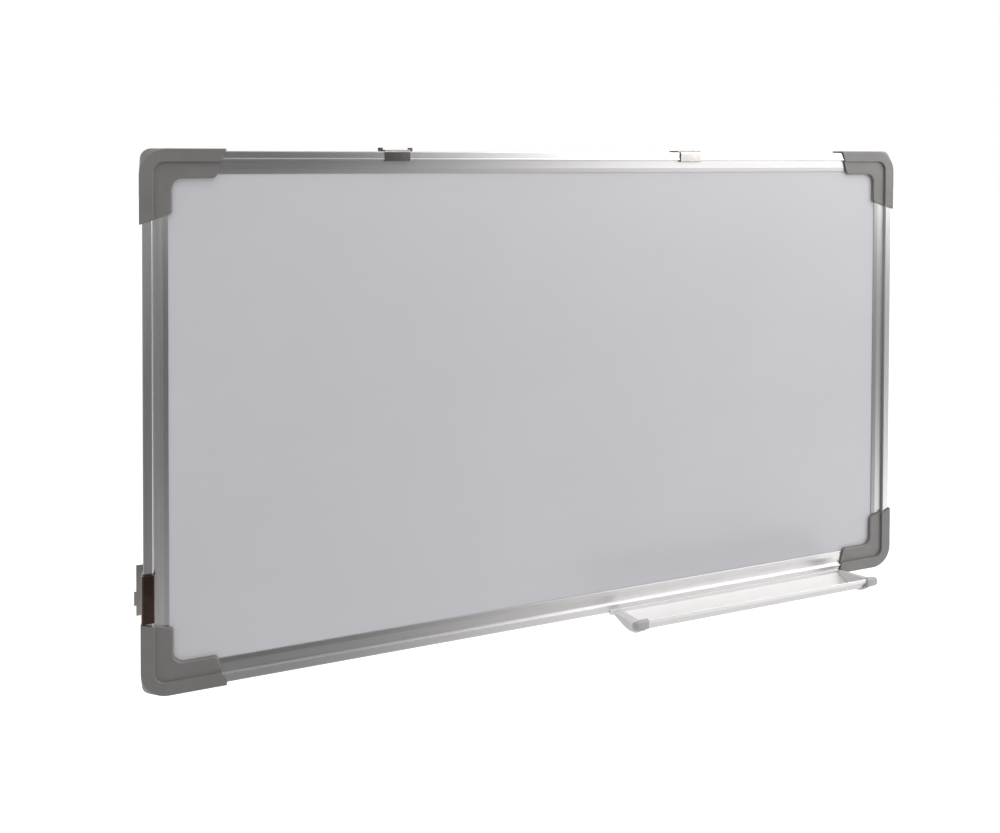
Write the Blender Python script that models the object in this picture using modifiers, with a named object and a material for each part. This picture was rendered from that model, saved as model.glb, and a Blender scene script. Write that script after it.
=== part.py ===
"""Wall-hung whiteboard, 1000 x 600 mm: stepped aluminium frame, moulded corner caps,
sliding hangers and a sliding pen tray.

Metres, +Z up. The writing face looks towards -Y. The origin is the middle of the back
of the board, on the outer face of the backing sheet.

Two working frames are used for the board:
side frame    x = a, inward from a rail's outer edge; y = b, back from the front face of
              the rail's outer band; z = along the rail. The left rail has this frame as
              it stands, and the others are it turned about Y in quarter turns.
corner frame  x and z run inward along the two legs from the frame's outer corner, y = b.
              The bottom left corner has this frame as it stands.
The tray has a third: x = out from the outer band's front, y = up from the bottom rail's
under edge, z = along that rail from its right end.
"""
import math

import bmesh
import bpy
from mathutils import Matrix, Vector

# Overall size of the frame, over the rails
BOARD_WIDTH = 1.000
BOARD_HEIGHT = 0.600

# Fits
CLEARANCE = 0.0003
OVERRUN = 0.002
WELD = 0.00001

# Board sandwich, front to back
SHEET_THICKNESS = 0.0004
CORE_THICKNESS = 0.0076
BACKING_THICKNESS = 0.0004
PANEL_EDGE = 0.016

# Rail section
RAIL_WIDTH = 0.026
RAIL_WALL = 0.001
RAIL_END_INSET = 0.032
BAND_WIDTH = 0.0105
BAND_STEP = 0.003
BAND_FALL = 0.0008
RIDGE_WIDTH = 0.0024
RIDGE_HEIGHT = 0.0006
RIDGE_ROUND = 0.0006
LIP_START = 0.0208
LIP_DROP = 0.0049
LIP_ROUND = 0.0003
BACK_FLANGE = 0.024
PANEL_RECESS = 0.006
RAIL_ROUND = 0.0014
SLOT_MIDDLE = 0.00825
SLOT_MOUTH = 0.0032
SLOT_WIDTH = 0.006
SLOT_LIP = 0.0012
SLOT_DEPTH = 0.0034

# Corner cap
CAP_PROUD = 0.0025
CAP_LEG_ACROSS = 0.087
CAP_LEG_UP = 0.081
CAP_TIP_SLANT = 0.0115
CAP_OVERLAP = 0.0043
CAP_SKIN = 0.0018
CAP_BACK_SKIN = 0.0027
CAP_BAND_MARGIN = 0.0018
CAP_CORNER_RADIUS = 0.012
CAP_FACET_RADIUS = 0.029
CAP_FACET_DEPTH = 0.007
CAP_STEP_RADIUS = 0.012
CAP_INNER_RADIUS = 0.0115
CAP_TIP_RADIUS = 0.004
CAP_CREST_RADIUS = 0.0005
CAP_EDGE = 0.0012
CAP_STEP_EDGE = 0.0005

# Cap screws
SCREW_ALONG = 0.055
SCREW_INWARD = 0.0095
SCREW_SHANK = 0.0014
SCREW_HEAD = 0.003
SCREW_HEAD_HEIGHT = 0.0014
SCREW_HEAD_CROWN = 0.0006
SCREW_LENGTH = 0.008
SCREW_TIP = 0.0015
SCREW_SEAT_SKIN = 0.0007
RECESS_LENGTH = 0.0034
RECESS_WIDTH = 0.0008
RECESS_DEPTH = 0.0008

# Sliding hangers, pressed from steel strip
HANGER_STEEL = 0.0015
HANGER_STAND_OFF = 0.0005
HANGER_BEND = 0.0024
HANGER_SMALL_BEND = 0.0004
HANGER_LIP_GAP = 0.0006
HANGER_BACK_REACH = 0.026
HANGER_TOP_LENGTH = 0.030
HANGER_TOP_PLATE = 0.042
HANGER_TOP_RISE = 0.0045
HANGER_LEFT_AT = 0.279
HANGER_RIGHT_AT = 0.6705
NOTCH_WIDTH = 0.0052
NOTCH_DEPTH = 0.011
HANGER_SIDE_LENGTH = 0.053
HANGER_SIDE_PLATE = 0.057
HANGER_SIDE_BACK_REACH = 0.014
TAB_REACH = 0.0095
TAB_MIDDLE_REACH = 0.0118
TAB_MIDDLE_LENGTH = 0.016
TAB_MIDDLE_DROP = 0.009
HANGER_STOP_GAP = 0.0006

# Pen tray
TRAY_LENGTH = 0.3605
TRAY_STOP_GAP = 0.001
TRAY_WALL = 0.0015
TRAY_FOOT_REACH = 0.014
TRAY_STRIP_HEIGHT = 0.004
TRAY_STRIP_OVERHANG = 0.005
TRAY_DIP_AT = 0.022
TRAY_DIP = 0.005
TRAY_FRONT_AT = 0.0595
TRAY_FRONT_RISE = 0.016
TRAY_LIP_AT = 0.0632
TRAY_LIP_RISE = 0.0245
TRAY_LIP_ROUND = 0.0006
END_WIDTH = 0.017
END_BLOCK = 0.0105
END_OVERHANG = 0.0105
END_WALL = 0.009
END_UNDER = 0.0018
END_BACK_RISE = 0.0034
END_NOSE_BACK = 0.0555
END_NOSE_AT = 0.058
END_NOSE_RISE = 0.0205
END_NOSE_ROUND = 0.003
END_FRONT_AT = 0.0665
END_FRONT_RISE = 0.0265
END_FRONT_FOOT = 0.0155
END_EDGE_BACK = -0.0005
END_EDGE_FRONT = 0.018
END_ROUND = 0.0018
# Each row: distance from the outer end, share of the height kept at the back and at the
# nose, and how far the nose is drawn in.
END_LEVELS = (
    (0, 0.30, 0.62, 0.003),
    (0.0012, 0.42, 0.76, 0.0014),
    (0.004, 0.64, 0.90, 0.0004),
    (END_WALL, 1, 1, 0),
)

# Facet counts
CORNER_STEPS = 12
TIP_STEPS = 4
CREST_STEPS = 2
EDGE_STEPS = 3
BEND_STEPS = 6
FLOOR_STEPS = 18
SCREW_SIDES = 16
HOLE_SIDES = 20
SHARP_ANGLE = math.radians(28)

# Derived places
PANEL_THICKNESS = SHEET_THICKNESS + CORE_THICKNESS + BACKING_THICKNESS + 2 * CLEARANCE
PANEL_BACK = PANEL_RECESS + PANEL_THICKNESS
GROOVE_FRONT = PANEL_RECESS - CLEARANCE
GROOVE_BACK = PANEL_BACK + CLEARANCE
GROOVE_FLOOR = PANEL_EDGE - CLEARANCE
RAIL_DEPTH = GROOVE_BACK + RAIL_WALL
SLEEVE_BACK = RAIL_DEPTH + CLEARANCE
CAP_BACK = SLEEVE_BACK + CAP_BACK_SKIN
CAP_INNER = RAIL_WIDTH + CAP_OVERLAP
CAP_BAND = BAND_WIDTH + CAP_BAND_MARGIN
TRAY_NEAR = CAP_LEG_ACROSS + TRAY_STOP_GAP
END_NEAR = TRAY_NEAR - END_OVERHANG
TRAY_FAR = END_NEAR + TRAY_LENGTH
TRAY_STRIP_FRONT = CLEARANCE + TRAY_WALL
END_BACK_AT = TRAY_STRIP_FRONT + CLEARANCE

HALF_WIDTH = BOARD_WIDTH / 2
HALF_HEIGHT = BOARD_HEIGHT / 2

# Places of the sides and corners, in x and z, in the order of their quarter turns about Y
SIDES = {
    "left": (-HALF_WIDTH, 0),
    "top": (0, HALF_HEIGHT),
    "right": (HALF_WIDTH, 0),
    "bottom": (0, -HALF_HEIGHT),
}
CORNERS = {
    "bottom_left": (-HALF_WIDTH, -HALF_HEIGHT),
    "top_left": (-HALF_WIDTH, HALF_HEIGHT),
    "top_right": (HALF_WIDTH, HALF_HEIGHT),
    "bottom_right": (HALF_WIDTH, -HALF_HEIGHT),
}
SIDE_LENGTHS = {
    "left": BOARD_HEIGHT,
    "top": BOARD_WIDTH,
    "right": BOARD_HEIGHT,
    "bottom": BOARD_WIDTH,
}

# The two hands of cap, each by its legs along x and up z
CAP_HANDS = ((CAP_LEG_ACROSS, CAP_LEG_UP), (CAP_LEG_UP, CAP_LEG_ACROSS))
SCREW_SPOTS = ((SCREW_INWARD, SCREW_ALONG), (SCREW_ALONG, SCREW_INWARD))


def clear_scene():
    for item in list(bpy.data.objects):
        bpy.data.objects.remove(item)


def new_collection(name):
    collection = bpy.data.collections.new(name)
    bpy.context.scene.collection.children.link(collection)
    return collection


def material(name, colour, roughness, metallic):
    item = bpy.data.materials.new(name)
    item.use_nodes = True
    shader = item.node_tree.nodes["Principled BSDF"]
    shader.inputs["Base Color"].default_value = (*colour, 1.0)
    shader.inputs["Roughness"].default_value = roughness
    shader.inputs["Metallic"].default_value = metallic
    return item


def make_materials():
    return {
        "enamel": material("white_enamel", (0.72, 0.72, 0.74), 0.18, 0.0),
        "core": material("honeycomb_card", (0.46, 0.36, 0.24), 0.9, 0.0),
        "backing": material("zinc_backing", (0.50, 0.51, 0.52), 0.5, 0.8),
        "rail": material("satin_aluminium", (0.62, 0.61, 0.61), 0.35, 1.0),
        "cap": material("grey_moulding", (0.24, 0.235, 0.22), 0.5, 0.0),
        "screw": material("zinc_screw", (0.60, 0.60, 0.58), 0.35, 1.0),
        "hanger": material("plated_steel", (0.55, 0.53, 0.52), 0.12, 1.0),
        "tray": material("tray_aluminium", (0.78, 0.78, 0.78), 0.3, 1.0),
        "tray_end": material("pale_grey_moulding", (0.44, 0.45, 0.45), 0.5, 0.0),
    }


def turn(quarters):
    return Matrix.Rotation(quarters * math.pi / 2, 4, "Y")


def framed(places, name):
    """World placement of a side's or corner's frame, whose origin is on the front edge."""
    x, z = places[name]
    return Matrix.Translation((x, -PANEL_BACK, z)) @ turn(list(places).index(name))


def rounded(corners):
    """Outline from (x, y, radius, steps) corners; a zero radius keeps the corner sharp."""
    outline = []
    count = len(corners)
    for index, (x, y, radius, steps) in enumerate(corners):
        point = Vector((x, y))
        if radius == 0:
            outline.append(point)
            continue
        before = (Vector(corners[index - 1][:2]) - point).normalized()
        after = (Vector(corners[(index + 1) % count][:2]) - point).normalized()
        half_angle = before.angle(after) / 2
        middle = point + (before + after).normalized() * (radius / math.sin(half_angle))
        start = point + before * (radius / math.tan(half_angle)) - middle
        end = point + after * (radius / math.tan(half_angle)) - middle
        sweep = start.angle_signed(end)
        for step in range(steps + 1):
            angle = sweep * step / steps
            spoke = start.copy()
            spoke.rotate(Matrix.Rotation(-angle, 2))
            outline.append(middle + spoke)
    return outline


def sharp(points):
    return [(x, y, 0, 0) for x, y in points]


def offset_line(points, distance, closed):
    """Points moved to the left of their line by a distance, with mitred corners."""
    moved = []
    count = len(points)
    for index, point in enumerate(points):
        point = Vector(point)
        before = Vector(points[index - 1]) if closed or index > 0 else None
        after = Vector(points[(index + 1) % count]) if closed or index < count - 1 else None
        headings = []
        if before is not None:
            headings.append((point - before).normalized())
        if after is not None:
            headings.append((after - point).normalized())
        normals = [Vector((-heading.y, heading.x)) for heading in headings]
        mitre = sum(normals, Vector((0, 0))).normalized()
        moved.append(point + mitre * (distance / mitre.dot(normals[0])))
    return moved


def circle_through(first, second, third):
    """Middle and radius of the circle through three points."""
    chord_a = second - first
    chord_b = third - first
    cross = 2 * (chord_a.x * chord_b.y - chord_a.y * chord_b.x)
    shift = Vector((
        (chord_b.y * chord_a.length_squared - chord_a.y * chord_b.length_squared) / cross,
        (chord_a.x * chord_b.length_squared - chord_b.x * chord_a.length_squared) / cross,
    ))
    return first + shift, shift.length


def finish_mesh(mesh):
    mesh.shade_smooth()
    mesh.set_sharp_from_angle(angle=SHARP_ANGLE)


def extruded_mesh(name, loop, length):
    """Closed prism from a flat loop in x and y, centred on z = 0 over the given length."""
    work = bmesh.new()
    base = work.faces.new([work.verts.new((point[0], point[1], -length / 2)) for point in loop])
    swept = bmesh.ops.extrude_face_region(work, geom=[base], use_keep_orig=True)
    lifted = [item for item in swept["geom"] if isinstance(item, bmesh.types.BMVert)]
    bmesh.ops.translate(work, verts=lifted, vec=(0, 0, length))
    bmesh.ops.recalc_face_normals(work, faces=work.faces)
    mesh = bpy.data.meshes.new(name)
    work.to_mesh(mesh)
    work.free()
    return mesh


def box_mesh(name, low, high):
    work = bmesh.new()
    bmesh.ops.create_cube(work, size=1)
    middle = (Vector(low) + Vector(high)) / 2
    size = Vector(high) - Vector(low)
    for vertex in work.verts:
        vertex.co = middle + Vector(part * whole for part, whole in zip(vertex.co, size))
    mesh = bpy.data.meshes.new(name)
    work.to_mesh(mesh)
    work.free()
    return mesh


def rod_mesh(name, radius, start, end, sides):
    """Cylinder along y, from start to end."""
    work = bmesh.new()
    bmesh.ops.create_cone(
        work, cap_ends=True, segments=sides, radius1=radius, radius2=radius, depth=end - start)
    bmesh.ops.rotate(work, verts=work.verts, matrix=Matrix.Rotation(math.pi / 2, 3, "X"))
    bmesh.ops.translate(work, verts=work.verts, vec=(0, (start + end) / 2, 0))
    mesh = bpy.data.meshes.new(name)
    work.to_mesh(mesh)
    work.free()
    return mesh


def lofted_mesh(name, levels):
    """Closed mesh through levels of (y, outline), whose outlines have equal counts."""
    work = bmesh.new()
    rings = [
        [work.verts.new((point[0], depth, point[1])) for point in outline]
        for depth, outline in levels
    ]
    for lower, upper in zip(rings, rings[1:]):
        for index in range(len(lower)):
            after = (index + 1) % len(lower)
            work.faces.new((lower[index], lower[after], upper[after], upper[index]))
    work.faces.new(rings[0])
    work.faces.new(rings[-1])
    bmesh.ops.recalc_face_normals(work, faces=work.faces)
    mesh = bpy.data.meshes.new(name)
    work.to_mesh(mesh)
    work.free()
    return mesh


class Model:
    """Collections and materials, and the few ways a piece is put into them."""

    def __init__(self):
        self.parts = new_collection("whiteboard")
        self.cutters = new_collection("cutters")
        self.materials = make_materials()

    def piece(self, name, mesh, finish, placement=None, parent=None):
        mesh.materials.clear()
        mesh.materials.append(self.materials[finish])
        item = bpy.data.objects.new(name, mesh)
        self.parts.objects.link(item)
        if placement is not None:
            item.matrix_world = placement
        if parent is not None:
            item.parent = parent
            item.matrix_parent_inverse = parent.matrix_world.inverted()
        return item

    def cutter(self, name, mesh, placement=None):
        item = bpy.data.objects.new(name, mesh)
        self.cutters.objects.link(item)
        item.hide_render = True
        item.display_type = "WIRE"
        if placement is not None:
            item.matrix_world = placement
        return item

    def cut_mesh(self, name, mesh, cutters):
        """The mesh with its cutters taken out, as a new mesh in the same frame."""
        work = bpy.data.objects.new(name, mesh)
        self.cutters.objects.link(work)
        for tool in cutters:
            cut = work.modifiers.new(tool.name, "BOOLEAN")
            cut.operation = "DIFFERENCE"
            cut.solver = "EXACT"
            cut.object = tool
        bpy.context.view_layer.update()
        depsgraph = bpy.context.evaluated_depsgraph_get()
        result = bpy.data.meshes.new_from_object(work.evaluated_get(depsgraph))
        result.name = name
        bpy.data.objects.remove(work)
        finish_mesh(result)
        return result

    def slider(self, name, place):
        """An empty on a slide's axis, which carries the pieces that slide."""
        item = bpy.data.objects.new(name, None)
        item.empty_display_size = RAIL_WIDTH
        self.parts.objects.link(item)
        item.location = place
        bpy.context.view_layer.update()
        return item


def rail_loops():
    """Outer loop and hollow chamber of the stepped rail section, in a and b."""
    slot_front = SLOT_MIDDLE - SLOT_WIDTH / 2
    slot_back = SLOT_MIDDLE + SLOT_WIDTH / 2
    mouth_front = SLOT_MIDDLE - SLOT_MOUTH / 2
    mouth_back = SLOT_MIDDLE + SLOT_MOUTH / 2
    corners = [
        (0, 0, RAIL_ROUND, EDGE_STEPS),
        (BAND_WIDTH - RIDGE_WIDTH, 0, 0, 0),
        (BAND_WIDTH - RIDGE_WIDTH, -RIDGE_HEIGHT, RIDGE_ROUND, CREST_STEPS),
        (BAND_WIDTH, -RIDGE_HEIGHT, RIDGE_ROUND, CREST_STEPS),
        (BAND_WIDTH, BAND_STEP, 0, 0),
        (LIP_START, BAND_STEP + BAND_FALL, 0, 0),
        (RAIL_WIDTH, LIP_DROP, LIP_ROUND, CREST_STEPS),
        (RAIL_WIDTH, GROOVE_FRONT, 0, 0),
        (GROOVE_FLOOR, GROOVE_FRONT, 0, 0),
        (GROOVE_FLOOR, GROOVE_BACK, 0, 0),
        (BACK_FLANGE, GROOVE_BACK, 0, 0),
        (BACK_FLANGE, RAIL_DEPTH, 0, 0),
        (0, RAIL_DEPTH, RAIL_ROUND, EDGE_STEPS),
    ] + sharp([
        (0, mouth_back), (SLOT_LIP, mouth_back), (SLOT_LIP, slot_back),
        (SLOT_DEPTH, slot_back), (SLOT_DEPTH, slot_front),
        (SLOT_LIP, slot_front), (SLOT_LIP, mouth_front), (0, mouth_front),
    ])
    return rounded(corners), chamber_loop(slot_front, slot_back)


def chamber_loop(slot_front, slot_back):
    """The rail's hollow, one wall inside the section all round."""
    near_slot = SLOT_DEPTH + RAIL_WALL
    near_groove = GROOVE_FLOOR - RAIL_WALL
    under_step = BAND_STEP + RAIL_WALL
    return [
        Vector(point) for point in (
            (RAIL_WALL, RAIL_WALL),
            (BAND_WIDTH - RAIL_WALL, RAIL_WALL),
            (BAND_WIDTH - RAIL_WALL, under_step),
            (near_groove, under_step + BAND_FALL),
            (near_groove, GROOVE_BACK),
            (RAIL_WALL, GROOVE_BACK),
            (RAIL_WALL, slot_back + RAIL_WALL),
            (near_slot, slot_back + RAIL_WALL),
            (near_slot, slot_front - RAIL_WALL),
            (RAIL_WALL, slot_front - RAIL_WALL),
        )
    ]


def screw_bore(model, name, radius, start, end, along, inward):
    """Cutter for a hole along y in the side frame."""
    mesh = rod_mesh(name, radius, start, end, HOLE_SIDES)
    return model.cutter(name, mesh, Matrix.Translation((inward, 0, along)))


def build_rails(model):
    section, chamber = rail_loops()
    hole_radius = SCREW_SHANK + CLEARANCE
    meshes = {}
    for side, length in SIDE_LENGTHS.items():
        if length not in meshes:
            bar_length = length - 2 * RAIL_END_INSET
            bar = extruded_mesh("rail", section, bar_length)
            hollow = extruded_mesh("chamber", chamber, bar_length + 2 * OVERRUN)
            reach = length / 2 - SCREW_ALONG
            holes = [model.cutter(f"{side}_chamber", hollow)]
            holes += [
                screw_bore(model, f"{side}_rail_hole_{end}", hole_radius, GROOVE_BACK - OVERRUN,
                           RAIL_DEPTH + OVERRUN, end * reach, SCREW_INWARD)
                for end in (-1, 1)
            ]
            meshes[length] = model.cut_mesh(f"rail_{length:.3f}", bar, holes)
        model.piece(f"rail_{side}", meshes[length], "rail", framed(SIDES, side))


def build_panel(model):
    """Enamelled sheet, honeycomb core and backing sheet, held in the rails' grooves."""
    half_width = HALF_WIDTH - PANEL_EDGE
    half_height = HALF_HEIGHT - PANEL_EDGE
    front = PANEL_RECESS - PANEL_BACK
    layers = (
        ("writing_sheet", SHEET_THICKNESS, "enamel"),
        ("core_panel", CORE_THICKNESS, "core"),
        ("backing_sheet", BACKING_THICKNESS, "backing"),
    )
    for name, thickness, finish in layers:
        mesh = box_mesh(
            name, (-half_width, front, -half_height), (half_width, front + thickness, half_height))
        model.piece(name, mesh, finish)
        front += thickness + CLEARANCE


def cap_outline(legs, outer, inner, outer_radius, inner_radius, tip_radius):
    """L-shaped outline of a corner cap; its leg ends slant, the outer edge reaching on."""
    def slant(inward):
        return CAP_TIP_SLANT * (inward + CAP_PROUD) / (CAP_INNER + CAP_PROUD)
    first, second = legs
    return rounded([
        (first - slant(outer), outer, CAP_CREST_RADIUS, CREST_STEPS),
        (outer, outer, outer_radius, CORNER_STEPS),
        (outer, second - slant(outer), CAP_CREST_RADIUS, CREST_STEPS),
        (inner, second - slant(inner), tip_radius, TIP_STEPS),
        (inner, inner, inner_radius, CORNER_STEPS),
        (first - slant(inner), inner, tip_radius, TIP_STEPS),
    ])


def cap_levels(legs):
    """Outlines of the cap from back to front: body, inner band, step, outer band."""
    outer = -CAP_PROUD
    inner_front = BAND_STEP - CAP_SKIN
    band_front = -CAP_SKIN
    edge_start = band_front + CAP_EDGE

    def corner_radius(depth):
        share = (CAP_FACET_DEPTH - depth) / (CAP_FACET_DEPTH - edge_start)
        return CAP_CORNER_RADIUS + (CAP_FACET_RADIUS - CAP_CORNER_RADIUS) * share

    def body(inset, radius):
        return cap_outline(legs, outer, CAP_INNER - inset, radius,
                           CAP_INNER_RADIUS + inset, CAP_TIP_RADIUS)

    def band(outer_inset, inner_inset, radius):
        return cap_outline(legs, outer + outer_inset, CAP_BAND - inner_inset,
                           radius - outer_inset, CAP_STEP_RADIUS + inner_inset,
                           CAP_CREST_RADIUS)

    back_edge = cap_outline(legs, outer + CAP_STEP_EDGE, CAP_INNER - CAP_STEP_EDGE,
                            CAP_CORNER_RADIUS - CAP_STEP_EDGE,
                            CAP_INNER_RADIUS + CAP_STEP_EDGE, CAP_TIP_RADIUS)
    levels = [
        (CAP_BACK, back_edge),
        (CAP_BACK - CAP_STEP_EDGE, body(0, CAP_CORNER_RADIUS)),
        (CAP_FACET_DEPTH, body(0, CAP_CORNER_RADIUS)),
    ]
    for step in range(EDGE_STEPS + 1):
        angle = step / EDGE_STEPS * math.pi / 2
        inset = CAP_EDGE * (1 - math.cos(angle))
        depth = inner_front + CAP_EDGE * (1 - math.sin(angle))
        levels.append((depth, body(inset, corner_radius(depth))))
    levels.append((inner_front, band(0, 0, corner_radius(inner_front))))
    for step in range(EDGE_STEPS + 1):
        angle = step / EDGE_STEPS * math.pi / 2
        fall = 1 - math.cos(angle)
        depth = edge_start - CAP_EDGE * math.sin(angle)
        inner_inset = CAP_STEP_EDGE * fall
        levels.append((depth, band(CAP_EDGE * fall, inner_inset, CAP_FACET_RADIUS)))
    return levels


def sleeve_loops():
    """Room for a rail in the cap, with the tongue that fills the rail's chamber left."""
    front = -RIDGE_HEIGHT - CLEARANCE
    shell = [
        Vector(point) for point in (
            (-CLEARANCE, front),
            (BAND_WIDTH + CLEARANCE, front),
            (BAND_WIDTH + CLEARANCE, BAND_STEP - CLEARANCE),
            (LIP_START, BAND_STEP + BAND_FALL - CLEARANCE),
            (RAIL_WIDTH + CLEARANCE, LIP_DROP - CLEARANCE),
            (RAIL_WIDTH + CLEARANCE, SLEEVE_BACK),
            (-CLEARANCE, SLEEVE_BACK),
        )
    ]
    chamber = rail_loops()[1]
    return shell, offset_line(chamber, CLEARANCE, True)


def cap_cutters(model):
    """Two rail sleeves, the pocket for the board's corner, and the screws' holes."""
    start = RAIL_END_INSET - CLEARANCE
    length = CAP_LEG_ACROSS + OVERRUN - start
    shell, tongue = sleeve_loops()
    core = model.cutter("tongue", extruded_mesh("tongue", tongue, length + 2 * OVERRUN))
    sleeve = model.cut_mesh("sleeve", extruded_mesh("sleeve", shell, length), [core])
    up_leg = Matrix.Translation((0, 0, start + length / 2))
    swap = Matrix(((0, 0, 1, 0), (0, 1, 0, 0), (1, 0, 0, 0), (0, 0, 0, 1)))
    across_leg = swap @ up_leg
    mirrored = sleeve.copy()
    mirrored.transform(across_leg)
    mirrored.flip_normals()
    pocket_low = PANEL_EDGE - CLEARANCE
    pocket_high = CAP_LEG_ACROSS + OVERRUN
    pocket = box_mesh("pocket", (pocket_low, GROOVE_FRONT, pocket_low),
                      (pocket_high, GROOVE_BACK, pocket_high))
    cutters = [
        model.cutter("sleeve_up", sleeve, up_leg),
        model.cutter("sleeve_across", mirrored),
        model.cutter("board_pocket", pocket),
    ]
    seat = SLEEVE_BACK + SCREW_SEAT_SKIN
    depth = seat - SCREW_LENGTH
    for index, (across, up) in enumerate(SCREW_SPOTS):
        place = Matrix.Translation((across, 0, up))
        bore = rod_mesh("bore", SCREW_SHANK + CLEARANCE, depth, CAP_BACK + OVERRUN, HOLE_SIDES)
        sink = rod_mesh("sink", SCREW_HEAD + CLEARANCE, seat, CAP_BACK + OVERRUN, HOLE_SIDES)
        cutters.append(model.cutter(f"cap_bore_{index}", bore, place))
        cutters.append(model.cutter(f"cap_sink_{index}", sink, place))
    return cutters


def build_caps(model):
    """Two hands of cap; each turned by a half turn also fits the corner across."""
    cutters = cap_cutters(model)
    meshes = []
    for hand, legs in enumerate(CAP_HANDS):
        block = lofted_mesh("cap_block", cap_levels(legs))
        meshes.append(model.cut_mesh(f"corner_cap_{hand}", block, cutters))
    for index, corner in enumerate(CORNERS):
        mesh = meshes[index % len(meshes)]
        model.piece(f"corner_cap_{corner}", mesh, "cap", framed(CORNERS, corner))


def screw_mesh(model):
    """Self-tapping screw along y: crowned head at the back, plain shank and a point."""
    head_top = SCREW_HEAD_HEIGHT
    rim = SCREW_HEAD_HEIGHT - SCREW_HEAD_CROWN
    profile = [(0, head_top)]
    for step in range(1, EDGE_STEPS + 1):
        angle = step / EDGE_STEPS * math.pi / 2
        profile.append((SCREW_HEAD * math.sin(angle), rim + SCREW_HEAD_CROWN * math.cos(angle)))
    profile += [
        (SCREW_HEAD, 0), (SCREW_SHANK, 0), (SCREW_SHANK, SCREW_TIP - SCREW_LENGTH),
        (0, -SCREW_LENGTH),
    ]
    line = bpy.data.meshes.new("screw_profile")
    edges = [(index, index + 1) for index in range(len(profile) - 1)]
    line.from_pydata([(radius, 0, height) for radius, height in profile], edges, [])
    lathe = bpy.data.objects.new("screw_profile", line)
    model.cutters.objects.link(lathe)
    spin = lathe.modifiers.new("turn", "SCREW")
    spin.steps = SCREW_SIDES
    spin.render_steps = SCREW_SIDES
    spin.use_merge_vertices = True
    spin.merge_threshold = WELD
    bpy.context.view_layer.update()
    depsgraph = bpy.context.evaluated_depsgraph_get()
    turned = bpy.data.meshes.new_from_object(lathe.evaluated_get(depsgraph))
    bpy.data.objects.remove(lathe)
    turned.transform(Matrix.Rotation(-math.pi / 2, 4, "X"))
    work = bmesh.new()
    work.from_mesh(turned)
    bmesh.ops.recalc_face_normals(work, faces=work.faces)
    work.to_mesh(turned)
    work.free()
    arms = []
    for name, across, up in (("slot_a", RECESS_LENGTH, RECESS_WIDTH),
                             ("slot_b", RECESS_WIDTH, RECESS_LENGTH)):
        arm = box_mesh(name, (-across / 2, head_top - RECESS_DEPTH, -up / 2),
                       (across / 2, head_top + OVERRUN, up / 2))
        arms.append(model.cutter(name, arm))
    return model.cut_mesh("cap_screw", turned, arms)


def build_screws(model):
    mesh = screw_mesh(model)
    seat = SLEEVE_BACK + SCREW_SEAT_SKIN + CLEARANCE
    for corner in CORNERS:
        frame = framed(CORNERS, corner)
        for index, (across, up) in enumerate(SCREW_SPOTS, start=1):
            place = frame @ Matrix.Translation((across, seat, up))
            model.piece(f"cap_screw_{corner}_{index}", mesh, "screw", place)


def hanger_loop(back_reach, tab_reach):
    """Strip bent round the rail: step lip, front plate, side web, back plate with its tab."""
    lip_in = BAND_WIDTH + CLEARANCE
    lip_out = lip_in + HANGER_STEEL
    lip_end = BAND_STEP - HANGER_LIP_GAP
    plate_in = -RIDGE_HEIGHT - CLEARANCE
    plate_out = plate_in - HANGER_STEEL
    web_in = -HANGER_STAND_OFF
    web_out = web_in - HANGER_STEEL
    back_in = CAP_BACK - HANGER_STEEL
    return rounded([
        (lip_out, lip_end, 0, 0),
        (lip_out, plate_out, HANGER_STEEL / 2, EDGE_STEPS),
        (web_out, plate_out, HANGER_BEND + HANGER_STEEL, BEND_STEPS),
        (web_out, back_in, HANGER_SMALL_BEND, EDGE_STEPS),
        (-tab_reach, back_in, 0, 0),
        (-tab_reach, CAP_BACK, 0, 0),
        (back_reach, CAP_BACK, 0, 0),
        (back_reach, back_in, 0, 0),
        (web_in, back_in, HANGER_SMALL_BEND, EDGE_STEPS),
        (web_in, plate_in, HANGER_BEND, BEND_STEPS),
        (lip_in, plate_in, 0, 0),
        (lip_in, lip_end, 0, 0),
    ])


def clip_cutter(model, name, ends, depth):
    """Cutter that takes a hanger's front and web off beyond the clip, down to a depth."""
    over = HANGER_STAND_OFF + HANGER_STEEL + OVERRUN
    mesh = box_mesh(name, (-over, -OVERRUN - HANGER_STEEL, ends[0]),
                    (HANGER_BACK_REACH, depth, ends[1]))
    return model.cutter(name, mesh)


def top_hanger_mesh(model):
    """Clip on a wider back plate with an ear at each end and, below, a notch for a screw."""
    strip = extruded_mesh("hanger", hanger_loop(HANGER_BACK_REACH, HANGER_TOP_RISE),
                          HANGER_TOP_PLATE)
    radius = NOTCH_WIDTH / 2
    back_in = CAP_BACK - HANGER_STEEL
    back = back_in - CLEARANCE
    far = CAP_BACK + OVERRUN
    crown = HANGER_BACK_REACH - NOTCH_DEPTH + radius
    slot = box_mesh("notch", (crown, back, -radius), (HANGER_BACK_REACH + OVERRUN, far, radius))
    bore = rod_mesh("notch_crown", radius, back - CLEARANCE, far + CLEARANCE, HOLE_SIDES)
    cutters = [
        model.cutter("hanger_notch", slot),
        model.cutter("hanger_notch_crown", bore, Matrix.Translation((crown, 0, 0))),
    ]
    for index, sign in enumerate((-1, 1)):
        ends = sorted((sign * HANGER_TOP_LENGTH / 2, sign * (HANGER_TOP_PLATE / 2 + OVERRUN)))
        cutters.append(clip_cutter(model, f"hanger_trim_{index}", ends, back_in - HANGER_STEEL))
    between = box_mesh("between_ears",
                       (-HANGER_TOP_RISE - OVERRUN, back_in - CLEARANCE, -HANGER_TOP_LENGTH / 2),
                       (-HANGER_STAND_OFF - HANGER_STEEL, far, HANGER_TOP_LENGTH / 2))
    cutters.append(model.cutter("between_ears", between))
    return model.cut_mesh("top_hanger", strip, cutters)


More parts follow.
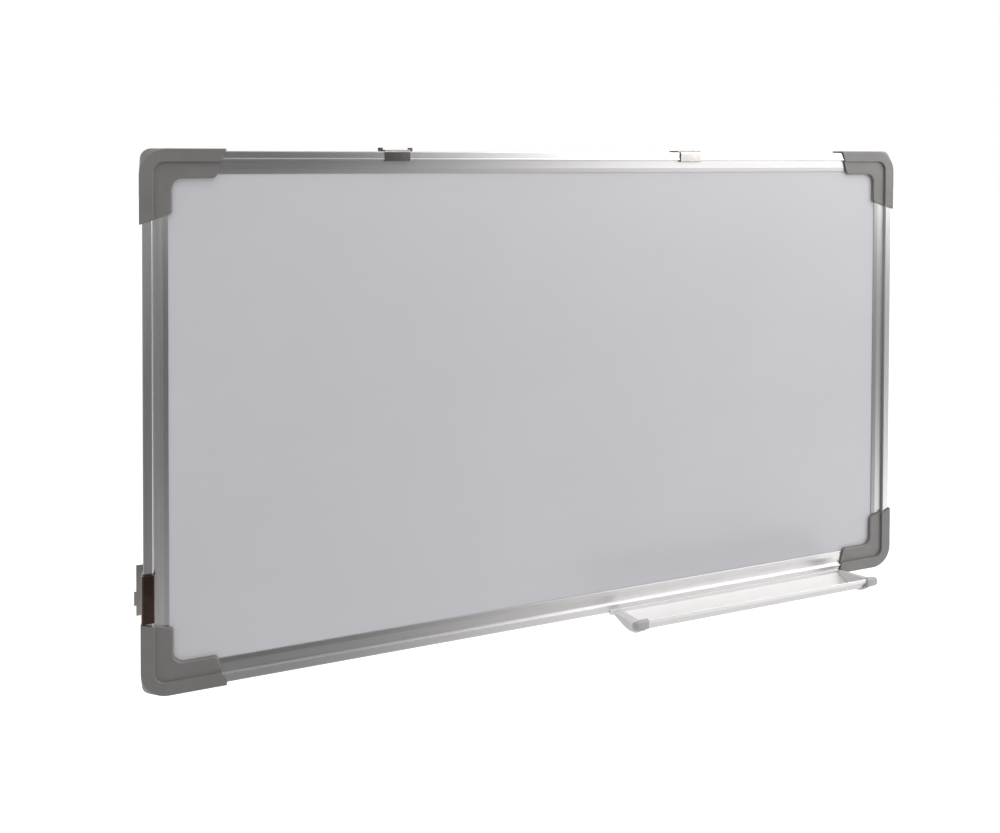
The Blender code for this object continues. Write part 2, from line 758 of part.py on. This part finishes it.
def side_hanger_mesh(model):
    """Hanger whose back plate stands out past the rail as a tab, widest near its middle."""
    loop = hanger_loop(HANGER_SIDE_BACK_REACH, TAB_MIDDLE_REACH)
    strip = extruded_mesh("side_hanger", loop, HANGER_SIDE_PLATE)
    half_plate = HANGER_SIDE_PLATE / 2
    half_middle = TAB_MIDDLE_LENGTH / 2
    back_in = CAP_BACK - HANGER_STEEL
    far = half_plate + OVERRUN
    ends = (HANGER_SIDE_LENGTH - half_plate, far)
    cutters = [clip_cutter(model, "clip_trim", ends, back_in - HANGER_STEEL)]
    tabs = ((-far, -TAB_MIDDLE_DROP - half_middle), (half_middle - TAB_MIDDLE_DROP, far))
    for index, (low, high) in enumerate(tabs):
        tab = box_mesh("tab_trim", (-TAB_MIDDLE_REACH - OVERRUN, back_in - OVERRUN, low),
                       (-TAB_REACH, CAP_BACK + OVERRUN, high))
        cutters.append(model.cutter(f"tab_trim_{index}", tab))
    return model.cut_mesh("side_hanger", strip, cutters)


def build_hangers(model):
    mesh = top_hanger_mesh(model)
    spots = (("hanger_top_left", HANGER_LEFT_AT), ("hanger_top_right", HANGER_RIGHT_AT))
    for name, from_left in spots:
        place = framed(SIDES, "top") @ Matrix.Translation((0, 0, from_left - HALF_WIDTH))
        slider = model.slider(f"{name}_slide", place.translation)
        model.piece(name, mesh, "hanger", place, slider)
    height = CAP_LEG_UP + HANGER_STOP_GAP + HANGER_SIDE_PLATE / 2 - HALF_HEIGHT
    place = framed(SIDES, "left") @ Matrix.Translation((0, 0, height))
    slider = model.slider("hanger_side_slide", place.translation)
    model.piece("hanger_side", side_hanger_mesh(model), "hanger", place, slider)


def tray_centre_line():
    """Middle of the tray's wall: a dished floor and the front lip, as distance and height."""
    start = Vector((TRAY_STRIP_FRONT, -CLEARANCE - TRAY_WALL / 2))
    dip = Vector((TRAY_DIP_AT, -TRAY_DIP))
    front = Vector((TRAY_FRONT_AT, TRAY_FRONT_RISE))
    middle, radius = circle_through(start, dip, front)
    first = math.atan2(start.y - middle.y, start.x - middle.x)
    last = math.atan2(front.y - middle.y, front.x - middle.x)
    line = []
    for step in range(FLOOR_STEPS + 1):
        angle = first + (last - first) * step / FLOOR_STEPS
        line.append(middle + radius * Vector((math.cos(angle), math.sin(angle))))
    line.append(Vector((TRAY_LIP_AT, (TRAY_FRONT_RISE + TRAY_LIP_RISE) / 2)))
    line.append(Vector((TRAY_LIP_AT, TRAY_LIP_RISE)))
    return line


def tray_loop():
    """Shelf section: foot under the rail with its tongue, back strip, floor and lip."""
    top = -CLEARANCE
    under = top - TRAY_WALL
    stem = SLOT_MOUTH / 2 - CLEARANCE
    head = SLOT_WIDTH / 2 - CLEARANCE
    head_low = SLOT_LIP + CLEARANCE
    head_high = SLOT_DEPTH - CLEARANCE
    foot = sharp([
        (-TRAY_FOOT_REACH, under), (-TRAY_FOOT_REACH, top),
        (-SLOT_MIDDLE - stem, top), (-SLOT_MIDDLE - stem, head_low),
        (-SLOT_MIDDLE - head, head_low), (-SLOT_MIDDLE - head, head_high),
        (-SLOT_MIDDLE + head, head_high), (-SLOT_MIDDLE + head, head_low),
        (-SLOT_MIDDLE + stem, head_low), (-SLOT_MIDDLE + stem, top),
        (CLEARANCE, top), (CLEARANCE, TRAY_STRIP_HEIGHT), (TRAY_STRIP_FRONT, TRAY_STRIP_HEIGHT),
    ])
    line = tray_centre_line()
    upper = offset_line(line, TRAY_WALL / 2, False)
    lower = offset_line(line, -TRAY_WALL / 2, False)
    ends = (upper[-1], lower[-1])
    upper_side = [(TRAY_STRIP_FRONT, upper[0].y, 0, 0)] + sharp(upper[1:-1])
    lip = [(point.x, point.y, TRAY_LIP_ROUND, EDGE_STEPS) for point in ends]
    lower_side = sharp(reversed(lower[1:-1])) + [(TRAY_STRIP_FRONT, under, 0, 0)]
    return rounded(foot + upper_side + lip + lower_side)


def tray_matrix():
    """World placement of the tray's frame."""
    axes = Matrix(((0, 0, -1, 0), (-1, 0, 0, 0), (0, 1, 0, 0), (0, 0, 0, 1)))
    return Matrix.Translation((HALF_WIDTH, -PANEL_BACK, -HALF_HEIGHT)) @ axes


def build_tray_shelf(model, slider):
    far = TRAY_FAR + TRAY_STRIP_OVERHANG
    mesh = extruded_mesh("tray_shelf", tray_loop(), far - TRAY_NEAR)
    mesh.transform(Matrix.Translation((0, 0, (TRAY_NEAR + far) / 2)))
    low = -TRAY_DIP - TRAY_WALL - OVERRUN
    high = TRAY_LIP_RISE + OVERRUN
    trims = []
    for name, start, end in (
            ("trim_right", TRAY_NEAR - OVERRUN, END_NEAR + END_WALL + CLEARANCE),
            ("trim_left", TRAY_FAR - END_WALL - CLEARANCE, far + OVERRUN)):
        trim = box_mesh(name, (TRAY_STRIP_FRONT, low, start), (TRAY_LIP_AT + OVERRUN, high, end))
        trims.append(model.cutter(f"shelf_{name}", trim))
    mesh = model.cut_mesh("tray_shelf", mesh, trims)
    model.piece("tray_shelf", mesh, "tray", tray_matrix(), slider)


def tray_end_loop():
    """Full outline of an end block: sloping top, blunt nose, belly under the floor."""
    belly = offset_line(tray_centre_line(), -TRAY_WALL / 2 - CLEARANCE - END_UNDER, False)
    under = [point for point in belly[:FLOOR_STEPS + 1] if point.x > END_BACK_AT]
    under = [point for point in under if point.y < END_FRONT_FOOT - END_ROUND]
    return rounded(
        [(END_BACK_AT, END_BACK_RISE, 0, 0)]
        + [(END_NOSE_AT, END_NOSE_RISE, END_NOSE_ROUND, EDGE_STEPS)]
        + [(END_FRONT_AT - 2 * END_ROUND, END_FRONT_RISE, END_ROUND, EDGE_STEPS)]
        + [(END_FRONT_AT, END_FRONT_RISE - END_ROUND, END_ROUND / 2, EDGE_STEPS)]
        + [(END_FRONT_AT, END_FRONT_FOOT, END_ROUND, EDGE_STEPS)]
        + sharp(reversed(under))
        + [(END_BACK_AT, under[0].y, 0, 0)]
    )


def tray_end_section(loop, back_share, nose_share, drawn_in):
    """The end block's outline, drawn towards the line of its thin outer edge."""
    section = []
    for point in loop:
        along = (point.x - END_BACK_AT) / (END_FRONT_AT - END_BACK_AT)
        edge = END_EDGE_BACK + (END_EDGE_FRONT - END_EDGE_BACK) * along
        share = back_share + (nose_share - back_share) * along
        section.append(Vector((point.x - drawn_in * along, edge + (point.y - edge) * share)))
    return section


def tray_slot_loop():
    """Room in an end block for the shelf's floor and lip."""
    line = tray_centre_line()
    wide = TRAY_WALL / 2 + CLEARANCE
    line[-1] = line[-1] + Vector((0, CLEARANCE))
    line.insert(0, line[0] - (line[1] - line[0]).normalized() * (TRAY_STRIP_FRONT + OVERRUN))
    return offset_line(line, wide, False) + list(reversed(offset_line(line, -wide, False)))


def tray_end_mesh(model):
    """End block from its outer edge inwards, with the shelf's slot and room behind the nose."""
    onto_side = Matrix.Rotation(-math.pi / 2, 4, "X")
    loop = tray_end_loop()
    levels = [(-start, tray_end_section(loop, *shape)) for start, *shape in END_LEVELS]
    block = lofted_mesh("tray_end", levels + [(-END_WIDTH, loop)])
    block.transform(onto_side)
    far = END_WIDTH + OVERRUN
    slot = extruded_mesh("tray_end_slot", tray_slot_loop(), far - END_WALL)
    behind = rounded([
        (-OVERRUN, -END_BLOCK, 0, 0), (END_NOSE_BACK, -END_BLOCK, END_NOSE_ROUND, EDGE_STEPS),
        (END_NOSE_BACK, -far, 0, 0), (-OVERRUN, -far, 0, 0),
    ])
    room = extruded_mesh("tray_end_room", behind, 2 * (END_FRONT_RISE + OVERRUN))
    cutters = [
        model.cutter("tray_end_slot", slot, Matrix.Translation((0, 0, (END_WALL + far) / 2))),
        model.cutter("tray_end_room", room, onto_side),
    ]
    return model.cut_mesh("tray_end", block, cutters)


def build_tray_ends(model, slider):
    right = tray_end_mesh(model)
    left = right.copy()
    left.transform(Matrix.Scale(-1, 4, (0, 0, 1)))
    left.flip_normals()
    for name, mesh, outer in (("right", right, END_NEAR), ("left", left, TRAY_FAR)):
        place = tray_matrix() @ Matrix.Translation((0, 0, outer))
        model.piece(f"tray_end_{name}", mesh, "tray_end", place, slider)


def build_tray(model):
    middle = HALF_WIDTH - (TRAY_NEAR + TRAY_FAR) / 2
    slider = model.slider("tray_slide", (middle, -PANEL_BACK, -HALF_HEIGHT))
    build_tray_shelf(model, slider)
    build_tray_ends(model, slider)


def main():
    clear_scene()
    model = Model()
    build_rails(model)
    build_panel(model)
    build_caps(model)
    build_screws(model)
    build_hangers(model)
    build_tray(model)


main()
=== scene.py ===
"""Looks, light and camera for the wall-hung whiteboard."""
import math

import bpy
from mathutils import Matrix, Vector

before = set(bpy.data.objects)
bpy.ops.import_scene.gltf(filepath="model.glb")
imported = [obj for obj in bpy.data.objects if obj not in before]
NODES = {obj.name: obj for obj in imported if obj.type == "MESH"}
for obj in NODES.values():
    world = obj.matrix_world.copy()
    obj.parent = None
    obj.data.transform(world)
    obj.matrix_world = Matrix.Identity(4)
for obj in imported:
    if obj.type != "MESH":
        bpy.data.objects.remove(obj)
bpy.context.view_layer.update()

X, Y, Z = range(3)
WHITE = (1.0, 1.0, 1.0)

# The photograph's view, solved from the frame's edges
IMAGE_WIDTH = 1000
MIDDLE_ROW = 416.5
EYE_LEVEL_ROW = 164.9
FOCAL_PIXELS = 766.63
SENSOR_WIDTH = 36.0
CAMERA_AT = (-0.3619, -0.9232, 0.2978)
CAMERA_YAW = 0.2869
CAMERA_PITCH = -0.0148
CAMERA_ROLL = 0.0030
CAMERA_NEAR = 0.01
CAMERA_FAR = 200.0

# Parts of a piece with a colour apart: how far they reach in from its outer end, or
# out from its inner one, how soft the border is, and how much of its colour a lip keeps. The pale
# hanger tab is its own colour; the darker rail lips and tray nose are painted shade.
TAB_WIDTH = 0.0092
NOSE_DEPTH = 0.0113
LIP_WIDTH = 0.0048
SHARP_BLEND = 0.0004
LIP_BLEND = 0.0008
# Painted shade: the rails' inner edges darkened where they meet the sheet
LEFT_LIP_SHADE_SHARE = 0.52
ACROSS_LIP_SHADE_SHARE = 0.95

# Tones and roughness that two or more materials share
RAIL_TONES = ((0.62, 0.61, 0.62), (0.69, 0.68, 0.69))
RAIL_ROUGH = (0.29, 0.33)

# Floor
FLOOR_HALF_SIZE = 30.0
FLOOR_LEVEL = -1.35
FLOOR_GLOW = 0.6


# Helpers for node materials

class Shader:
    """A material's node tree, with short ways to add and join nodes."""

    def __init__(self, name):
        self.material = bpy.data.materials.new(name)
        self.material.use_nodes = True
        self.tree = self.material.node_tree
        self.surface = self.tree.nodes["Principled BSDF"]
        self.output = self.tree.nodes["Material Output"]

    def add(self, kind, **values):
        """New node, with its settings."""
        node = self.tree.nodes.new(kind)
        for key, value in values.items():
            setattr(node, key, value)
        return node

    def link(self, source, target):
        """Wire an output to an input."""
        self.tree.links.new(source, target)

    def set(self, **values):
        """Plain values on the surface's own sockets."""
        for key, value in values.items():
            self.surface.inputs[key.replace("_", " ")].default_value = value

    def place(self, scale=(1, 1, 1)):
        """Object coordinates, stretched by a scale."""
        coordinates = self.add("ShaderNodeTexCoord")
        mapping = self.add("ShaderNodeMapping")
        mapping.inputs["Scale"].default_value = scale
        self.link(coordinates.outputs["Object"], mapping.inputs["Vector"])
        return mapping.outputs["Vector"]

    def noise(self, scale, detail=3.0, rough=0.5, stretch=(1, 1, 1)):
        """Level of a noise pattern, stretched by a scale."""
        node = self.add("ShaderNodeTexNoise")
        node.inputs["Scale"].default_value = scale
        node.inputs["Detail"].default_value = detail
        node.inputs["Roughness"].default_value = rough
        self.link(self.place(stretch), node.inputs["Vector"])
        return node.outputs["Fac"]

    def ramp(self, source, tones, start=0.3, end=0.7):
        """From the first to the second tone as the source goes from start to end."""
        node = self.add("ShaderNodeValToRGB")
        for element, tone, position in zip(node.color_ramp.elements, tones, (start, end)):
            element.position = position
            element.color = (*tone, 1)
        self.link(source, node.inputs["Fac"])
        return node.outputs["Color"]

    def span(self, source, limits, start=0.3, end=0.7):
        """From the first to the second limit as the source goes from start to end."""
        node = self.add("ShaderNodeMapRange")
        node.inputs["From Min"].default_value = start
        node.inputs["From Max"].default_value = end
        node.inputs["To Min"].default_value = limits[0]
        node.inputs["To Max"].default_value = limits[1]
        self.link(source, node.inputs["Value"])
        return node.outputs["Result"]

    def beyond(self, axis, edge, blend):
        """0 nearer the origin than an edge, along an axis, and 1 beyond the edge and its blend."""
        coordinates = self.add("ShaderNodeTexCoord")
        split = self.add("ShaderNodeSeparateXYZ")
        self.link(coordinates.outputs["Object"], split.inputs["Vector"])
        size = self.add("ShaderNodeMath", operation="ABSOLUTE")
        self.link(split.outputs[axis], size.inputs[0])
        return self.span(size.outputs["Value"], (0.0, 1.0), edge, edge + blend)

    def mix(self, first, second, factor):
        """Mix of two colours, each a tone or another node's colour."""
        node = self.add("ShaderNodeMix", data_type="RGBA")
        sockets = [socket for socket in node.inputs if socket.enabled]
        for socket, value in zip(sockets, (factor, first, second)):
            if isinstance(value, bpy.types.NodeSocket):
                self.link(value, socket)
            elif isinstance(value, tuple):
                socket.default_value = (*value, 1)
            else:
                socket.default_value = value
        return next(socket for socket in node.outputs if socket.enabled)

    def bump(self, height, strength, distance):
        """Normal that follows a height."""
        node = self.add("ShaderNodeBump")
        node.inputs["Strength"].default_value = strength
        node.inputs["Distance"].default_value = distance
        self.link(height, node.inputs["Height"])
        return node.outputs["Normal"]

    def finish(self, colour, roughness, normal):
        """Join what varies over the surface, and hand over the material."""
        self.link(colour, self.surface.inputs["Base Color"])
        self.link(roughness, self.surface.inputs["Roughness"])
        self.link(normal, self.surface.inputs["Normal"])
        return self.material


def distances(name, axis):
    """How far a node's points are from the origin, along an axis."""
    return [abs(point.co[axis]) for point in NODES[name].data.vertices]


# Kinds of surface

def drawn_out(along, share):
    """Scale that draws a pattern out along one axis."""
    return tuple(share if axis == along else 1.0 for axis in (X, Y, Z))


def drawn_metal(name, along, tones, rough, metallic=1.0, lip=None):
    """Satin anodised aluminium with fine lines along the bar. A lip is its edge and the share
    of the colour that it keeps, a painted shade where the rail meets the sheet."""
    shader = Shader(name)
    lines = shader.noise(2600.0, detail=2.0, rough=0.6, stretch=drawn_out(along, 0.006))
    bands = shader.noise(420.0, rough=0.6, stretch=drawn_out(along, 0.008))
    haze = shader.noise(18.0)
    colour = shader.mix(shader.ramp(lines, tones), shader.ramp(bands, tones), 0.5)
    colour = shader.mix(colour, shader.ramp(haze, tones), 0.25)
    if lip is not None:
        edge, share = lip
        across = X if along == Z else Z
        # Painted shade: the lip darkened towards the sheet, standing in for the gap's shade
        lip_shade_tone = tuple(part * share for part in tones[0])
        colour = shader.mix(lip_shade_tone, colour, shader.beyond(across, edge, LIP_BLEND))
    shader.set(Metallic=metallic, Anisotropic=0.6)
    grain = shader.add("ShaderNodeTangent", direction_type="RADIAL", axis="XYZ"[along])
    shader.link(grain.outputs["Tangent"], shader.surface.inputs["Tangent"])
    return shader.finish(colour, shader.span(bands, rough), shader.bump(lines, 0.10, 0.0002))


def moulded(name, tones, rough, nose=None):
    """Grained moulding, a little clouded by handling. A nose is its edge and the darker tone painted
    on it as shade.
    """
    shader = Shader(name)
    clouds = shader.noise(30.0, detail=4.0, rough=0.6)
    specks = shader.noise(900.0, detail=2.0)
    colour = shader.mix(shader.ramp(clouds, tones), shader.ramp(specks, tones), 0.3)
    if nose is not None:
        edge, tone = nose
        # Painted shade: the front-facing nose darkened as the dim front would shade it
        colour = shader.mix(colour, tone, shader.beyond(Y, edge, SHARP_BLEND))
    dullness = shader.span(shader.noise(70.0, rough=0.6), rough)
    grain = shader.noise(2200.0, rough=0.6)
    shader.set(Metallic=0.0, IOR=1.6)
    return shader.finish(colour, dullness, shader.bump(grain, 0.12, 0.0002))


def plated(name, tones, rough, tab=None):
    """Bright plated steel with faint clouds and press marks. A tab is its edge and its tone."""
    shader = Shader(name)
    colour = shader.ramp(shader.noise(60.0), tones)
    if tab is not None:
        edge, tone = tab
        colour = shader.mix(colour, tone, shader.beyond(X, edge, SHARP_BLEND))
    dullness = shader.span(shader.noise(160.0, rough=0.6), rough)
    marks = shader.noise(500.0, detail=2.0)
    shader.set(Metallic=1.0)
    return shader.finish(colour, dullness, shader.bump(marks, 0.05, 0.0002))


# Materials

def enamel():
    """Glossy white enamel, with the faint clouds and wipe marks of use."""
    shader = Shader("enamel_white")
    clouds = shader.noise(5.0, detail=4.0, rough=0.55)
    wipes = shader.noise(16.0, detail=4.0, rough=0.6, stretch=(0.35, 1, 1.6))
    cloud_tones = ((0.584, 0.576, 0.602), (0.610, 0.603, 0.624))
    wipe_tones = ((0.580, 0.578, 0.606), (0.612, 0.608, 0.626))
    clouded = shader.ramp(clouds, cloud_tones, start=0.25, end=0.75)
    colour = shader.mix(clouded, shader.ramp(wipes, wipe_tones, start=0.2, end=0.8), 0.3)
    rubbing = shader.noise(14.0, detail=4.0, rough=0.6, stretch=(0.5, 1, 1.4))
    dullness = shader.span(rubbing, (0.35, 0.42), start=0.2, end=0.8)
    peel = shader.noise(420.0, detail=2.0)
    shader.set(Metallic=0.0, IOR=1.5, Coat_Weight=0.2, Coat_Roughness=0.3, Coat_IOR=1.5)
    return shader.finish(colour, dullness, shader.bump(peel, 0.04, 0.0004))


def card():
    """Raw brown board."""
    shader = Shader("core_card")
    fibres = shader.noise(700.0, detail=4.0, rough=0.7, stretch=(1, 0.3, 1))
    colour = shader.ramp(fibres, ((0.36, 0.27, 0.17), (0.52, 0.41, 0.28)))
    shader.set(Metallic=0.0)
    return shader.finish(colour, shader.span(fibres, (0.85, 0.95)), shader.bump(fibres, 0.3, 0.0004))


def backing():
    """Dull coated sheet with a fine spangle."""
    shader = Shader("backing_grey")
    cells = shader.add("ShaderNodeTexVoronoi", feature="F1")
    cells.inputs["Scale"].default_value = 70.0
    shader.link(shader.place(), cells.inputs["Vector"])
    cell = cells.outputs["Distance"]
    spangle = shader.ramp(cell, ((0.42, 0.43, 0.44), (0.50, 0.51, 0.52)), start=0.0, end=0.9)
    clouds = shader.noise(6.0, detail=4.0, rough=0.6)
    haze = shader.ramp(clouds, ((0.40, 0.41, 0.42), (0.52, 0.53, 0.54)))
    dullness = shader.span(shader.noise(40.0, rough=0.6), (0.38, 0.52))
    shader.set(Metallic=0.35)
    return shader.finish(shader.mix(spangle, haze, 0.5), dullness, shader.bump(cell, 0.05, 0.0003))


def rail_across():
    lip = (min(distances("rail_top", Z)) + LIP_WIDTH, ACROSS_LIP_SHADE_SHARE)
    return drawn_metal("rail_across", X, RAIL_TONES, RAIL_ROUGH, lip=lip)


def rail_left():
    lip = (min(distances("rail_left", X)) + LIP_WIDTH, LEFT_LIP_SHADE_SHARE)
    return drawn_metal("rail_left", Z, RAIL_TONES, RAIL_ROUGH, lip=lip)


def rail_right():
    return drawn_metal("rail_right", Z, RAIL_TONES, RAIL_ROUGH)


def cap_grey():
    tones = ((0.166, 0.158, 0.149), (0.196, 0.188, 0.178))
    return moulded("cap_grey", tones, rough=(0.34, 0.46))


def screw_zinc():
    tones = ((0.55, 0.55, 0.52), (0.68, 0.68, 0.66))
    return plated("screw_zinc", tones, rough=(0.28, 0.40))


def hanger_nickel():
    tones = ((0.31, 0.295, 0.285), (0.38, 0.365, 0.355))
    return plated("hanger_nickel", tones, rough=(0.04, 0.10))


def hanger_dark():
    """Dark plating, with a pale tab beside the frame."""
    tones = ((0.115, 0.078, 0.066), (0.16, 0.11, 0.092))
    tab = (max(distances("hanger_side", X)) - TAB_WIDTH, (0.86, 0.84, 0.80))
    return plated("hanger_dark", tones, rough=(0.08, 0.16), tab=tab)


def tray_metal():
    tones = ((0.74, 0.73, 0.72), (0.81, 0.80, 0.79))
    return drawn_metal("tray_across", X, tones, rough=(0.32, 0.42), metallic=0.3)


def tray_end_grey():
    """Pale moulding, its nose darkened with painted shade."""
    tones = ((0.74, 0.73, 0.72), (0.80, 0.79, 0.78))
    nose = (max(distances("tray_end_left", Y)) - NOSE_DEPTH, (0.42, 0.415, 0.41))
    return moulded("tray_end_grey", tones, rough=(0.4, 0.5), nose=nose)


def dress(start, material):
    """Put a material on the nodes whose names start so."""
    for name, node in NODES.items():
        if name.startswith(start):
            node.data.materials.clear()
            node.data.materials.append(material)


def dress_all():
    """Give every piece its material."""
    dress("writing_sheet", enamel())
    dress("core_panel", card())
    dress("backing_sheet", backing())
    dress(("rail_top", "rail_bottom"), rail_across())
    dress("rail_left", rail_left())
    dress("rail_right", rail_right())
    dress("corner_cap", cap_grey())
    dress("cap_screw", screw_zinc())
    dress("hanger_top", hanger_nickel())
    dress("hanger_side", hanger_dark())
    dress("tray_shelf", tray_metal())
    dress("tray_end", tray_end_grey())


# Lamps

def area_lamp(name, place, aim, size, radiance):
    """Soft box of a given radiance, out of the camera's sight."""
    width, height = size
    data = bpy.data.lights.new(name, "AREA")
    data.shape = "RECTANGLE"
    data.size = width
    data.size_y = height
    data.energy = radiance * math.pi * width * height
    lamp = bpy.data.objects.new(name, data)
    bpy.context.scene.collection.objects.link(lamp)
    lamp.location = place
    lamp.rotation_mode = "QUATERNION"
    lamp.rotation_quaternion = (Vector(aim) - Vector(place)).to_track_quat("-Z", "Y")
    lamp.visible_camera = False


def build_lights():
    """Main light high at the right, and softer ones from above, low right and behind."""
    area_lamp("key_right", (1.55, -1.25, 0.84), aim=(0.2, 0.0, -0.1), size=(2.0, 1.2), radiance=1.6)
    area_lamp("top_soft", (0.3, -0.9, 2.0), aim=(0.1, -0.1, -0.3), size=(2.2, 1.2), radiance=1.5)
    area_lamp("low_right", (1.45, -0.95, -0.95), aim=(0.3, 0.0, -0.2), size=(1.1, 0.5), radiance=0.45)
    area_lamp("fill_back", (-0.6, 2.6, 1.2), aim=(0.0, 0.0, 0.0), size=(2.4, 2.0), radiance=0.8)


# World

class Sky:
    """The world's node tree, with short ways to shade it by direction."""

    def __init__(self):
        world = bpy.data.worlds.new("studio")
        bpy.context.scene.world = world
        world.use_nodes = True
        self.tree = world.node_tree
        self.tree.nodes.clear()
        coordinates = self.tree.nodes.new("ShaderNodeTexCoord")
        self.direction = coordinates.outputs["Generated"]
        split = self.tree.nodes.new("ShaderNodeSeparateXYZ")
        self.tree.links.new(self.direction, split.inputs["Vector"])
        self.x, self.y, self.z = split.outputs

    def step(self, source, start, end, low=0.0, high=1.0):
        """Smooth step from low to high as the source goes from start to end."""
        node = self.tree.nodes.new("ShaderNodeMapRange")
        node.interpolation_type = "SMOOTHSTEP"
        limits = {"From Min": start, "From Max": end, "To Min": low, "To Max": high}
        for name, value in limits.items():
            node.inputs[name].default_value = value
        self.tree.links.new(source, node.inputs["Value"])
        return node.outputs["Result"]

    def along(self, heading):
        """How far the direction runs along a heading."""
        node = self.tree.nodes.new("ShaderNodeVectorMath")
        node.operation = "DOT_PRODUCT"
        node.inputs[1].default_value = heading
        self.tree.links.new(self.direction, node.inputs[0])
        return node.outputs["Value"]

    def join(self, operation, *sources):
        """Sum or product of two or more levels."""
        result = sources[0]
        for source in sources[1:]:
            node = self.tree.nodes.new("ShaderNodeMath")
            node.operation = operation
            self.tree.links.new(result, node.inputs[0])
            self.tree.links.new(source, node.inputs[1])
            result = node.outputs["Value"]
        return result

    def glow(self, level, colour):
        """Background of a colour, at a plain or varying level."""
        node = self.tree.nodes.new("ShaderNodeBackground")
        node.inputs["Color"].default_value = (*colour, 1)
        if isinstance(level, bpy.types.NodeSocket):
            self.tree.links.new(level, node.inputs["Strength"])
        else:
            node.inputs["Strength"].default_value = level
        return node.outputs["Background"]

    def choose(self, factor, first, second):
        """The first background where the factor is 0, and the second where it is 1."""
        node = self.tree.nodes.new("ShaderNodeMixShader")
        self.tree.links.new(factor, node.inputs["Fac"])
        self.tree.links.new(first, node.inputs[1])
        self.tree.links.new(second, node.inputs[2])
        return node.outputs["Shader"]


def mirrored_level(sky):
    """What gloss and metal see: in front of the board a dim room with a window at the right, a
    paler door at the left and a pale sweep on the ground, and white behind it."""
    front = sky.step(sky.y, 0.10, -0.15)
    room = sky.step(sky.x, 0.05, 0.60, low=0.14, high=0.33)
    window = sky.join("MULTIPLY", sky.step(sky.x, 0.11, 0.42, high=2.4), sky.step(sky.z, -0.12, 0.03))
    door = sky.join("MULTIPLY", sky.step(sky.x, -0.12, -0.35, high=0.5), sky.step(sky.z, -0.30, -0.02))
    down_and_back = (0.144, 0.544, -1.0)
    ground = sky.step(sky.along(down_and_back), -0.07, 0.07)
    sweep = sky.join("MULTIPLY", sky.step(sky.x, 0.0, 0.40, low=0.26, high=1.10), ground)
    before = sky.join("MULTIPLY", front, sky.join("ADD", room, window, door, sweep))
    return sky.join("ADD", before, sky.step(sky.y, -0.15, 0.10, high=0.95))


def build_world():
    """Soft studio fill, and a dim room for gloss and metal; the camera, looking past the object, meets
    plain white.
    """
    sky = Sky()
    path = sky.tree.nodes.new("ShaderNodeLightPath")
    white = sky.glow(1.0, WHITE)
    mirrored = sky.glow(mirrored_level(sky), (1.0, 0.99, 0.98))
    soft = sky.glow(sky.step(sky.z, -1.0, 1.0, low=0.32, high=0.84), (0.98, 0.98, 1.0))
    shaded = sky.choose(path.outputs["Is Glossy Ray"], soft, mirrored)
    seen = sky.choose(path.outputs["Is Camera Ray"], shaded, white)
    output = sky.tree.nodes.new("ShaderNodeOutputWorld")
    sky.tree.links.new(seen, output.inputs["Surface"])


def floor_pale():
    """Pale matt floor that glows a little for the camera."""
    shader = Shader("floor_pale")
    clouds = shader.noise(0.8, detail=4.0)
    colour = shader.ramp(clouds, ((0.64, 0.64, 0.64), (0.68, 0.68, 0.68)))
    shader.link(colour, shader.surface.inputs["Base Color"])
    shader.link(shader.span(shader.noise(3.0), (0.65, 0.75)), shader.surface.inputs["Roughness"])
    path = shader.add("ShaderNodeLightPath")
    level = shader.span(path.outputs["Is Camera Ray"], (0.0, FLOOR_GLOW), start=0.0, end=1.0)
    glow = shader.add("ShaderNodeEmission")
    glow.inputs["Color"].default_value = (*WHITE, 1)
    shader.link(level, glow.inputs["Strength"])
    both = shader.add("ShaderNodeAddShader")
    shader.link(shader.surface.outputs["BSDF"], both.inputs[0])
    shader.link(glow.outputs["Emission"], both.inputs[1])
    shader.link(both.outputs["Shader"], shader.output.inputs["Surface"])
    return shader.material


def build_floor():
    """Plain floor, a metre under the board and hidden from glossy rays."""
    turns = ((-1, -1), (1, -1), (1, 1), (-1, 1))
    corners = [(x * FLOOR_HALF_SIZE, y * FLOOR_HALF_SIZE, 0) for x, y in turns]
    mesh = bpy.data.meshes.new("floor")
    mesh.from_pydata(corners, [], [range(len(corners))])
    mesh.materials.append(floor_pale())
    floor = bpy.data.objects.new("floor", mesh)
    bpy.context.scene.collection.objects.link(floor)
    floor.location = (0, 0, FLOOR_LEVEL)
    floor.visible_glossy = False


def build_camera():
    """Camera at the photograph's place, with its height shifted as the photograph's is."""
    data = bpy.data.cameras.new("camera")
    data.sensor_width = SENSOR_WIDTH
    data.lens = FOCAL_PIXELS / IMAGE_WIDTH * SENSOR_WIDTH
    data.shift_y = (EYE_LEVEL_ROW - MIDDLE_ROW) / IMAGE_WIDTH
    data.clip_start = CAMERA_NEAR
    data.clip_end = CAMERA_FAR
    camera = bpy.data.objects.new("camera", data)
    bpy.context.scene.collection.objects.link(camera)
    turn = Matrix.Rotation(-CAMERA_YAW, 4, "Z")
    tilt = Matrix.Rotation(math.pi / 2 + CAMERA_PITCH, 4, "X")
    roll = Matrix.Rotation(CAMERA_ROLL, 4, "Z")
    camera.matrix_world = Matrix.Translation(CAMERA_AT) @ turn @ tilt @ roll
    bpy.context.scene.camera = camera


dress_all()
build_world()
build_lights()
build_floor()
build_camera()
bpy.context.scene.view_settings.view_transform = "Standard"
